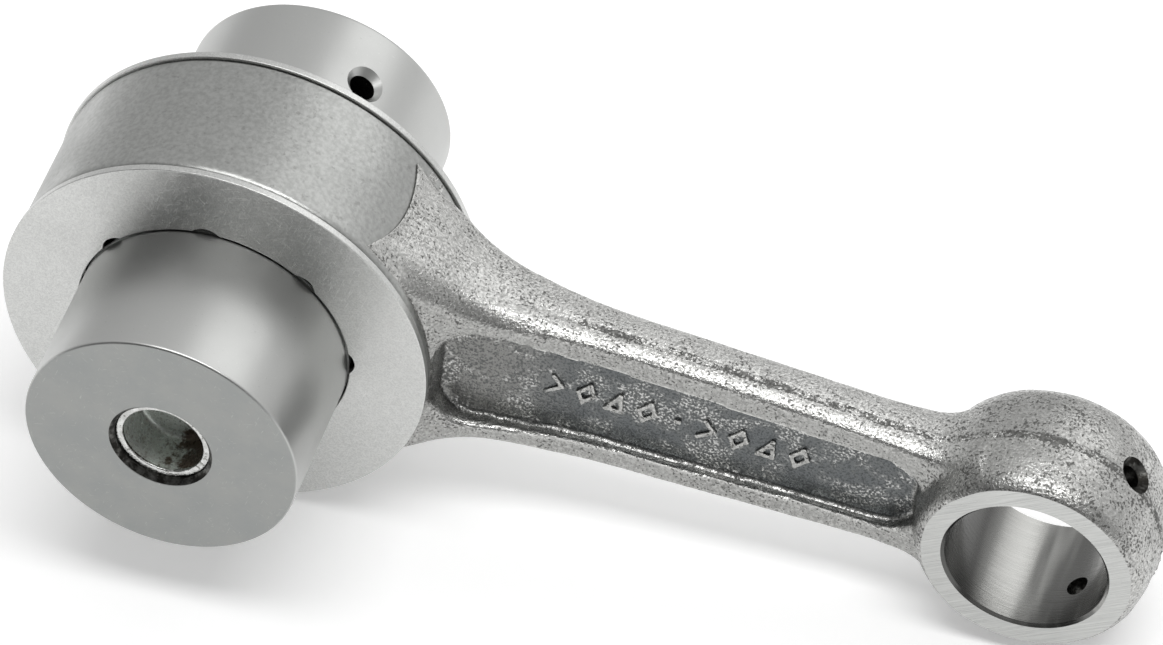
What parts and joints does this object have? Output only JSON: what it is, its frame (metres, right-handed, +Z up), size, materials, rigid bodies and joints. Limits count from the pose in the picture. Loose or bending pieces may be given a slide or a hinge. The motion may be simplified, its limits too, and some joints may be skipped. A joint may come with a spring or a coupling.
{
  "type": "connecting rod",
  "caption": "Forged I-beam connecting rod with its crank pin, caged needle bearing and thrust washers fitted in the big end, and a plain bored small end.",
  "frame": {"origin": "centre of the small end bore, at the rod's mid width", "axes": "+X from the big end to the small end along the rod's centre line, +Y along the crank pin towards its rear end (the end with the oil feed hole), +Z up, square to both, as the rod stands on edge"},
  "size_m": [0.1514, 0.064, 0.0568],
  "materials": {
    "forged_rod_steel": "forged and tumbled steel, pitted grain, ground at the small end faces and the big end drum",
    "ground_pin_steel": "case hardened, fine ground, satin",
    "plated_plug_steel": "bright pressed steel cup",
    "cage_steel": "phosphated steel, dull",
    "washer_steel": "hardened thrust washer, light satin with bright edges",
    "roller_steel": "lapped bearing steel, bright"
  },
  "bodies": {
    "rod": {"connecting_rod": "forged_rod_steel"},
    "crank_pin": {"crank_pin": "ground_pin_steel", "oil_plug": "plated_plug_steel"},
    "cage": {"roller_cage": "cage_steel"},
    "front_washer": {"front_thrust_washer": "washer_steel"},
    "rear_washer": {"rear_thrust_washer": "washer_steel"},
    "roller_01": {"roller_01": "roller_steel"},
    "roller_02": {"roller_02": "roller_steel"},
    "roller_03": {"roller_03": "roller_steel"},
    "roller_04": {"roller_04": "roller_steel"},
    "roller_05": {"roller_05": "roller_steel"},
    "roller_06": {"roller_06": "roller_steel"},
    "roller_07": {"roller_07": "roller_steel"},
    "roller_08": {"roller_08": "roller_steel"},
    "roller_09": {"roller_09": "roller_steel"},
    "roller_10": {"roller_10": "roller_steel"},
    "roller_11": {"roller_11": "roller_steel"},
    "roller_12": {"roller_12": "roller_steel"},
    "roller_13": {"roller_13": "roller_steel"},
    "roller_14": {"roller_14": "roller_steel"},
    "roller_15": {"roller_15": "roller_steel"},
    "roller_16": {"roller_16": "roller_steel"},
    "roller_17": {"roller_17": "roller_steel"},
    "roller_18": {"roller_18": "roller_steel"}
  },
  "joints": [
    {"name": "crank_pin_spin", "type": "hinge", "parent": "rod", "child": "crank_pin", "pos_m": [-0.107, 0, 0], "axis": [0, 1, 0], "continuous": true},
    {"name": "cage_spin", "type": "hinge", "parent": "rod", "child": "cage", "pos_m": [-0.107, 0, 0], "axis": [0, 1, 0], "continuous": true},
    {"name": "front_washer_spin", "type": "hinge", "parent": "rod", "child": "front_washer", "pos_m": [-0.107, 0, 0], "axis": [0, 1, 0], "continuous": true},
    {"name": "rear_washer_spin", "type": "hinge", "parent": "rod", "child": "rear_washer", "pos_m": [-0.107, 0, 0], "axis": [0, 1, 0], "continuous": true},
    {"name": "roller_01_spin", "type": "hinge", "parent": "cage", "child": "roller_01", "pos_m": [-0.08699, 0, 0], "axis": [0, 1, 0], "continuous": true},
    {"name": "roller_02_spin", "type": "hinge", "parent": "cage", "child": "roller_02", "pos_m": [-0.0882, 0, 0.00684], "axis": [0, 1, 0], "continuous": true},
    {"name": "roller_03_spin", "type": "hinge", "parent": "cage", "child": "roller_03", "pos_m": [-0.09167, 0, 0.01286], "axis": [0, 1, 0], "continuous": true},
    {"name": "roller_04_spin", "type": "hinge", "parent": "cage", "child": "roller_04", "pos_m": [-0.097, 0, 0.01733], "axis": [0, 1, 0], "continuous": true},
    {"name": "roller_05_spin", "type": "hinge", "parent": "cage", "child": "roller_05", "pos_m": [-0.10353, 0, 0.0197], "axis": [0, 1, 0], "continuous": true},
    {"name": "roller_06_spin", "type": "hinge", "parent": "cage", "child": "roller_06", "pos_m": [-0.11047, 0, 0.0197], "axis": [0, 1, 0], "continuous": true},
    {"name": "roller_07_spin", "type": "hinge", "parent": "cage", "child": "roller_07", "pos_m": [-0.117, 0, 0.01733], "axis": [0, 1, 0], "continuous": true},
    {"name": "roller_08_spin", "type": "hinge", "parent": "cage", "child": "roller_08", "pos_m": [-0.12233, 0, 0.01286], "axis": [0, 1, 0], "continuous": true},
    {"name": "roller_09_spin", "type": "hinge", "parent": "cage", "child": "roller_09", "pos_m": [-0.1258, 0, 0.00684], "axis": [0, 1, 0], "continuous": true},
    {"name": "roller_10_spin", "type": "hinge", "parent": "cage", "child": "roller_10", "pos_m": [-0.12701, 0, 0], "axis": [0, 1, 0], "continuous": true},
    {"name": "roller_11_spin", "type": "hinge", "parent": "cage", "child": "roller_11", "pos_m": [-0.1258, 0, -0.00684], "axis": [0, 1, 0], "continuous": true},
    {"name": "roller_12_spin", "type": "hinge", "parent": "cage", "child": "roller_12", "pos_m": [-0.12233, 0, -0.01286], "axis": [0, 1, 0], "continuous": true},
    {"name": "roller_13_spin", "type": "hinge", "parent": "cage", "child": "roller_13", "pos_m": [-0.117, 0, -0.01733], "axis": [0, 1, 0], "continuous": true},
    {"name": "roller_14_spin", "type": "hinge", "parent": "cage", "child": "roller_14", "pos_m": [-0.11047, 0, -0.0197], "axis": [0, 1, 0], "continuous": true},
    {"name": "roller_15_spin", "type": "hinge", "parent": "cage", "child": "roller_15", "pos_m": [-0.10353, 0, -0.0197], "axis": [0, 1, 0], "continuous": true},
    {"name": "roller_16_spin", "type": "hinge", "parent": "cage", "child": "roller_16", "pos_m": [-0.097, 0, -0.01733], "axis": [0, 1, 0], "continuous": true},
    {"name": "roller_17_spin", "type": "hinge", "parent": "cage", "child": "roller_17", "pos_m": [-0.09167, 0, -0.01286], "axis": [0, 1, 0], "continuous": true},
    {"name": "roller_18_spin", "type": "hinge", "parent": "cage", "child": "roller_18", "pos_m": [-0.0882, 0, -0.00684], "axis": [0, 1, 0], "continuous": true}
  ],
  "couplings": [
    {"joint": "cage_spin", "follows": "crank_pin_spin", "ratio": 0.44983},
    {"joint": "roller_01_spin", "follows": "crank_pin_spin", "ratio": -4.9498},
    {"joint": "roller_02_spin", "follows": "crank_pin_spin", "ratio": -4.9498},
    {"joint": "roller_03_spin", "follows": "crank_pin_spin", "ratio": -4.9498},
    {"joint": "roller_04_spin", "follows": "crank_pin_spin", "ratio": -4.9498},
    {"joint": "roller_05_spin", "follows": "crank_pin_spin", "ratio": -4.9498},
    {"joint": "roller_06_spin", "follows": "crank_pin_spin", "ratio": -4.9498},
    {"joint": "roller_07_spin", "follows": "crank_pin_spin", "ratio": -4.9498},
    {"joint": "roller_08_spin", "follows": "crank_pin_spin", "ratio": -4.9498},
    {"joint": "roller_09_spin", "follows": "crank_pin_spin", "ratio": -4.9498},
    {"joint": "roller_10_spin", "follows": "crank_pin_spin", "ratio": -4.9498},
    {"joint": "roller_11_spin", "follows": "crank_pin_spin", "ratio": -4.9498},
    {"joint": "roller_12_spin", "follows": "crank_pin_spin", "ratio": -4.9498},
    {"joint": "roller_13_spin", "follows": "crank_pin_spin", "ratio": -4.9498},
    {"joint": "roller_14_spin", "follows": "crank_pin_spin", "ratio": -4.9498},
    {"joint": "roller_15_spin", "follows": "crank_pin_spin", "ratio": -4.9498},
    {"joint": "roller_16_spin", "follows": "crank_pin_spin", "ratio": -4.9498},
    {"joint": "roller_17_spin", "follows": "crank_pin_spin", "ratio": -4.9498},
    {"joint": "roller_18_spin", "follows": "crank_pin_spin", "ratio": -4.9498}
  ]
}
